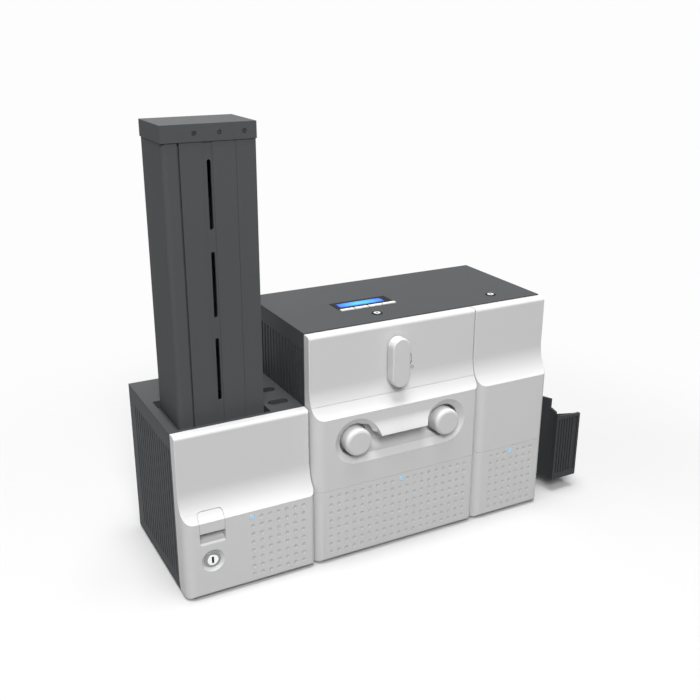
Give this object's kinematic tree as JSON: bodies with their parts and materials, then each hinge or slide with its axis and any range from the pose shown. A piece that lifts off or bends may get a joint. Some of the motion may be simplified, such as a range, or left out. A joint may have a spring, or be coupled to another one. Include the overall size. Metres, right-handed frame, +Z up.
{
  "type": "id card printer",
  "caption": "Modular desktop ID card printer with a tall card magazine, a pull-out ribbon cassette with knobs, a head lever, a card flipper and an output stacker.",
  "frame": {"origin": "centre of the bounding box in plan, at the level of the rubber feet", "axes": "+X from the card hopper towards the output stacker, along the row of modules; +Y from the white fronts towards the back; +Z up"},
  "size_m": [0.541, 0.1944, 0.494],
  "materials": {
    "dark_abs": "fine textured",
    "black_abs": "fine textured",
    "white_abs": "satin",
    "steel": "satin",
    "chromed_zinc": "polished",
    "rubber": "matt",
    "black_steel": "satin",
    "aluminium": "anodised",
    "display": "smooth",
    "led": "smooth",
    "button": "smooth",
    "pvc_card": "smooth",
    "ribbon": "smooth",
    "switch": "smooth"
  },
  "bodies": {
    "printer_body": {"base_trays": "dark_abs", "hopper_case": "dark_abs", "hopper_deck": "dark_abs", "hinge_pins": "steel", "pick_frame": "steel", "motors": "black_steel", "feet": "rubber", "printer_case": "dark_abs", "front_frame": "dark_abs", "upper_panel": "white_abs", "head_beam": "steel", "printer_lower_panel": "white_abs", "panel_leds": "led", "transport_frame": "steel", "drive_belt": "rubber", "flipper_front": "white_abs", "flipper_lower_panel": "white_abs", "flipper_frame": "steel", "rear_sockets": "black_abs"},
    "hopper_door": {"hopper_door": "white_abs", "door_lock_body": "chromed_zinc", "hopper_led": "led"},
    "door_latch": {"door_latch": "white_abs"},
    "door_lock_plug": {"door_lock_plug": "chromed_zinc"},
    "card_magazine": {"card_cartridge": "dark_abs", "cartridge_front": "dark_abs", "cartridge_cap": "dark_abs", "cap_screws": "black_steel", "card_stack": "pvc_card"},
    "card_weight": {"card_weight": "black_abs"},
    "pick_roller": {"pick_roller": "rubber"},
    "top_cover": {"top_cover": "dark_abs", "display_bezel": "black_abs", "display_glass": "display", "cover_lock_bodies": "black_steel"},
    "button_1": {"button_1": "button"},
    "button_2": {"button_2": "button"},
    "button_3": {"button_3": "button"},
    "button_4": {"button_4": "button"},
    "printer_lock_plug": {"printer_lock_plug": "chromed_zinc"},
    "flipper_lock_plug": {"flipper_lock_plug": "chromed_zinc"},
    "head_lever": {"head_lever": "white_abs", "lever_shaft": "steel"},
    "print_head": {"head_carriage": "steel", "print_head": "aluminium"},
    "ribbon_cassette": {"cassette_front": "white_abs", "cassette_frame": "black_abs", "ribbon_film": "ribbon"},
    "supply_spool": {"supply_knob": "white_abs", "supply_ribbon": "ribbon"},
    "takeup_spool": {"takeup_knob": "white_abs", "takeup_ribbon": "ribbon"},
    "infeed_roller": {"infeed_roller": "rubber"},
    "platen_roller": {"platen_roller": "rubber"},
    "outfeed_roller": {"outfeed_roller": "rubber"},
    "pinch_roller_in": {"pinch_roller_in": "rubber"},
    "pinch_roller_out": {"pinch_roller_out": "rubber"},
    "flipper_drum": {"flipper_drum": "black_abs"},
    "output_stacker": {"output_stacker": "black_abs"},
    "power_switch": {"power_switch": "switch"}
  },
  "joints": [
    {"name": "hopper_door_hinge", "type": "hinge", "parent": "printer_body", "child": "hopper_door", "pos_m": [-0.1945, -0.08155, 0.012], "axis": [1, 0, 0], "range_deg": [0, 90]},
    {"name": "door_latch_pivot", "type": "hinge", "parent": "hopper_door", "child": "door_latch", "pos_m": [-0.239, -0.07965, 0.099], "axis": [-1, 0, 0], "range_deg": [0, 10], "stiffness_Nm_per_rad": 0.08},
    {"name": "door_lock_turn", "type": "hinge", "parent": "hopper_door", "child": "door_lock_plug", "pos_m": [-0.2398, -0.08225, 0.0448], "axis": [0, 1, 0], "range_deg": [-90, 0]},
    {"name": "magazine_lift", "type": "slide", "parent": "printer_body", "child": "card_magazine", "axis": [0, 0, 1], "range_m": [0, 0.09]},
    {"name": "card_weight_slide", "type": "slide", "parent": "card_magazine", "child": "card_weight", "axis": [0, 0, 1], "range_m": [0, 0.27]},
    {"name": "pick_roller_spin", "type": "hinge", "parent": "printer_body", "child": "pick_roller", "pos_m": [-0.2061, -0.00895, 0.094], "axis": [0, 1, 0], "continuous": true},
    {"name": "top_cover_hinge", "type": "hinge", "parent": "printer_body", "child": "top_cover", "pos_m": [0.0395, 0.09325, 0.2667], "axis": [-1, 0, 0], "range_deg": [0, 80]},
    {"name": "button_1_press", "type": "slide", "parent": "top_cover", "child": "button_1", "axis": [0, 0, -1], "range_m": [0, 0.0008], "stiffness_N_per_m": 600},
    {"name": "button_2_press", "type": "slide", "parent": "top_cover", "child": "button_2", "axis": [0, 0, -1], "range_m": [0, 0.0008], "stiffness_N_per_m": 600},
    {"name": "button_3_press", "type": "slide", "parent": "top_cover", "child": "button_3", "axis": [0, 0, -1], "range_m": [0, 0.0008], "stiffness_N_per_m": 600},
    {"name": "button_4_press", "type": "slide", "parent": "top_cover", "child": "button_4", "axis": [0, 0, -1], "range_m": [0, 0.0008], "stiffness_N_per_m": 600},
    {"name": "printer_lock_turn", "type": "hinge", "parent": "top_cover", "child": "printer_lock_plug", "pos_m": [-0.013, -0.03845, 0.263], "axis": [0, 0, 1], "range_deg": [0, 90]},
    {"name": "flipper_lock_turn", "type": "hinge", "parent": "top_cover", "child": "flipper_lock_plug", "pos_m": [0.1454, -0.03845, 0.263], "axis": [0, 0, 1], "range_deg": [0, 90]},
    {"name": "head_lever_turn", "type": "hinge", "parent": "printer_body", "child": "head_lever", "pos_m": [-0.0103, -0.06425, 0.2287], "axis": [0, 1, 0], "range_deg": [0, 90]},
    {"name": "print_head_drop", "type": "slide", "parent": "printer_body", "child": "print_head", "axis": [0, 0, -1], "range_m": [0, 0.011]},
    {"name": "ribbon_cassette_pull", "type": "slide", "parent": "printer_body", "child": "ribbon_cassette", "axis": [0, -1, 0], "range_m": [0, 0.12]},
    {"name": "supply_spool_turn", "type": "hinge", "parent": "ribbon_cassette", "child": "supply_spool", "pos_m": [-0.066, -0.02425, 0.1462], "axis": [0, 1, 0], "continuous": true},
    {"name": "takeup_spool_turn", "type": "hinge", "parent": "ribbon_cassette", "child": "takeup_spool", "pos_m": [0.051, -0.02425, 0.1462], "axis": [0, 1, 0], "continuous": true},
    {"name": "platen_roller_spin", "type": "hinge", "parent": "printer_body", "child": "platen_roller", "pos_m": [-0.0103, -0.00895, 0.099], "axis": [0, 1, 0], "continuous": true},
    {"name": "infeed_roller_spin", "type": "hinge", "parent": "printer_body", "child": "infeed_roller", "pos_m": [-0.0843, -0.00895, 0.099], "axis": [0, 1, 0], "continuous": true},
    {"name": "outfeed_roller_spin", "type": "hinge", "parent": "printer_body", "child": "outfeed_roller", "pos_m": [0.0637, -0.00895, 0.099], "axis": [0, 1, 0], "continuous": true},
    {"name": "pinch_roller_in_spin", "type": "hinge", "parent": "printer_body", "child": "pinch_roller_in", "pos_m": [-0.0843, -0.00895, 0.1125], "axis": [0, 1, 0], "continuous": true},
    {"name": "pinch_roller_out_spin", "type": "hinge", "parent": "printer_body", "child": "pinch_roller_out", "pos_m": [0.0637, -0.00895, 0.1125], "axis": [0, 1, 0], "continuous": true},
    {"name": "flipper_drum_turn", "type": "hinge", "parent": "printer_body", "child": "flipper_drum", "pos_m": [0.148, -0.00895, 0.107], "axis": [0, 1, 0], "continuous": true},
    {"name": "output_stacker_lift", "type": "slide", "parent": "printer_body", "child": "output_stacker", "axis": [0, 0, 1], "range_m": [0, 0.012]},
    {"name": "power_switch_rock", "type": "hinge", "parent": "printer_body", "child": "power_switch", "pos_m": [-0.0495, 0.08375, 0.035], "axis": [1, 0, 0], "range_deg": [-14, 0]}
  ],
  "couplings": [
    {"joint": "head_lever_turn", "follows": "print_head_drop", "rad_per_m": 142.8},
    {"joint": "infeed_roller_spin", "follows": "platen_roller_spin", "ratio": 1},
    {"joint": "outfeed_roller_spin", "follows": "platen_roller_spin", "ratio": 1},
    {"joint": "pinch_roller_in_spin", "follows": "platen_roller_spin", "ratio": -1.7778},
    {"joint": "pinch_roller_out_spin", "follows": "platen_roller_spin", "ratio": -1.7778}
  ]
}
